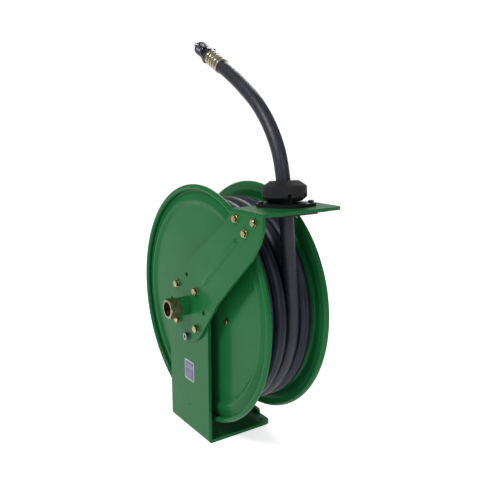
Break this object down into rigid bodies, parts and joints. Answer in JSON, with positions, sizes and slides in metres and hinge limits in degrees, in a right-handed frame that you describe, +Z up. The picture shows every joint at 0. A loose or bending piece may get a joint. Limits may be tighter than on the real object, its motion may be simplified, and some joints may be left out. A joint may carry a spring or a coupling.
{
  "type": "hose reel with quick disconnect coupler",
  "caption": "Spring-rewind hose reel on a single pedestal: pressed discs, wound hose, roller guide, ball stop, swivel inlet and a quick disconnect coupler on the hose end.",
  "frame": {"origin": "on the floor under the foot, at the centre of its four bolt holes and below the middle of the drum", "axes": "+Z up, +Y along the drum's axis away from the pedestal's panel, +X towards the hose guide"},
  "size_m": [0.4304, 0.191, 0.693],
  "materials": {
    "green_paint": "glossy enamel",
    "hose_rubber": "satin",
    "yellow_zinc": "yellow zinc plated, bright",
    "steel": "machined",
    "spring_steel": "oiled",
    "brass": "machined",
    "bronze": "machined",
    "black_plastic": "moulded",
    "stop_rubber": "moulded",
    "black_steel": "black oxide",
    "dark_chrome": "polished",
    "seal_rubber": "smooth",
    "roller_plastic": "smooth",
    "label": "printed film"
  },
  "bodies": {
    "stand": {"pedestal": "green_paint", "guide_arm": "green_paint", "outlet_bracket": "green_paint", "spindle": "steel", "shaft_sleeve": "green_paint", "spindle_bolts": "yellow_zinc", "bracket_bolts": "yellow_zinc", "spindle_clip": "spring_steel", "label_plate": "label", "pawl_pin": "steel", "pawl_spring": "spring_steel", "guide_housing": "black_plastic", "guide_ring": "black_plastic", "guide_screws": "black_steel", "roller_pins": "steel", "stop_front": "stop_rubber", "stop_rear": "stop_rubber", "stop_screws": "black_steel", "hose_run": "hose_rubber", "free_hose": "hose_rubber", "ferrule": "yellow_zinc", "hose_end": "hose_rubber", "hose_stem": "steel", "coupler_adapter": "black_steel", "coupler_body": "dark_chrome", "sleeve_spring": "spring_steel", "sleeve_clip": "spring_steel", "lock_balls": "steel", "valve_spring": "spring_steel", "coupler_seal": "seal_rubber"},
    "drum": {"near_disc": "green_paint", "far_disc": "green_paint", "drum_core": "green_paint", "near_disc_bolts": "yellow_zinc", "far_disc_bolts": "yellow_zinc", "near_hub": "green_paint", "near_bush": "bronze", "far_bush": "bronze", "spring_cup": "green_paint", "spring_cover": "green_paint", "power_spring": "spring_steel", "ratchet_ring": "steel", "fluid_tube": "steel", "outlet_elbow": "brass", "inner_hose": "hose_rubber", "far_cap": "green_paint", "hose_pack": "hose_rubber"},
    "pawl": {"pawl": "steel"},
    "inlet": {"inlet_swivel": "brass", "swivel_seals": "seal_rubber", "swivel_clip": "spring_steel"},
    "roller_rear": {"roller_rear": "roller_plastic"},
    "roller_front": {"roller_front": "roller_plastic"},
    "roller_near": {"roller_near": "roller_plastic"},
    "roller_far": {"roller_far": "roller_plastic"},
    "release_sleeve": {"coupler_sleeve": "dark_chrome"},
    "valve": {"coupler_valve": "brass"},
    "plug": {"plug": "dark_chrome"}
  },
  "joints": [
    {"name": "drum_spin", "type": "hinge", "parent": "stand", "child": "drum", "pos_m": [0, 0, 0.2374], "axis": [0, 1, 0], "continuous": true},
    {"name": "pawl_swing", "type": "hinge", "parent": "stand", "child": "pawl", "pos_m": [0, 0, 0.1814], "axis": [0, 1, 0], "range_deg": [0, 14], "stiffness_Nm_per_rad": 0.02, "springref_deg": -11.46},
    {"name": "inlet_turn", "type": "hinge", "parent": "stand", "child": "inlet", "pos_m": [0, 0, 0.2374], "axis": [0, 1, 0], "continuous": true},
    {"name": "roller_rear_spin", "type": "hinge", "parent": "stand", "child": "roller_rear", "pos_m": [0.1536, 0, 0.4193], "axis": [0, 1, 0], "continuous": true},
    {"name": "roller_front_spin", "type": "hinge", "parent": "stand", "child": "roller_front", "pos_m": [0.1854, 0, 0.4193], "axis": [0, 1, 0], "continuous": true},
    {"name": "roller_near_spin", "type": "hinge", "parent": "stand", "child": "roller_near", "pos_m": [0.1695, -0.0159, 0.4265], "axis": [1, 0, 0], "continuous": true},
    {"name": "roller_far_spin", "type": "hinge", "parent": "stand", "child": "roller_far", "pos_m": [0.1695, 0.0159, 0.4265], "axis": [1, 0, 0], "continuous": true},
    {"name": "sleeve_slide", "type": "slide", "parent": "stand", "child": "release_sleeve", "axis": [0.8855, 0, -0.4645], "range_m": [0, 0.0035], "stiffness_N_per_m": 1500},
    {"name": "valve_slide", "type": "slide", "parent": "stand", "child": "valve", "axis": [0.8855, 0, -0.4645], "range_m": [0, 0.0022], "stiffness_N_per_m": 600},
    {"name": "plug_pull", "type": "slide", "parent": "stand", "child": "plug", "axis": [-0.8855, 0, 0.4645], "range_m": [0, 0.026]}
  ]
}
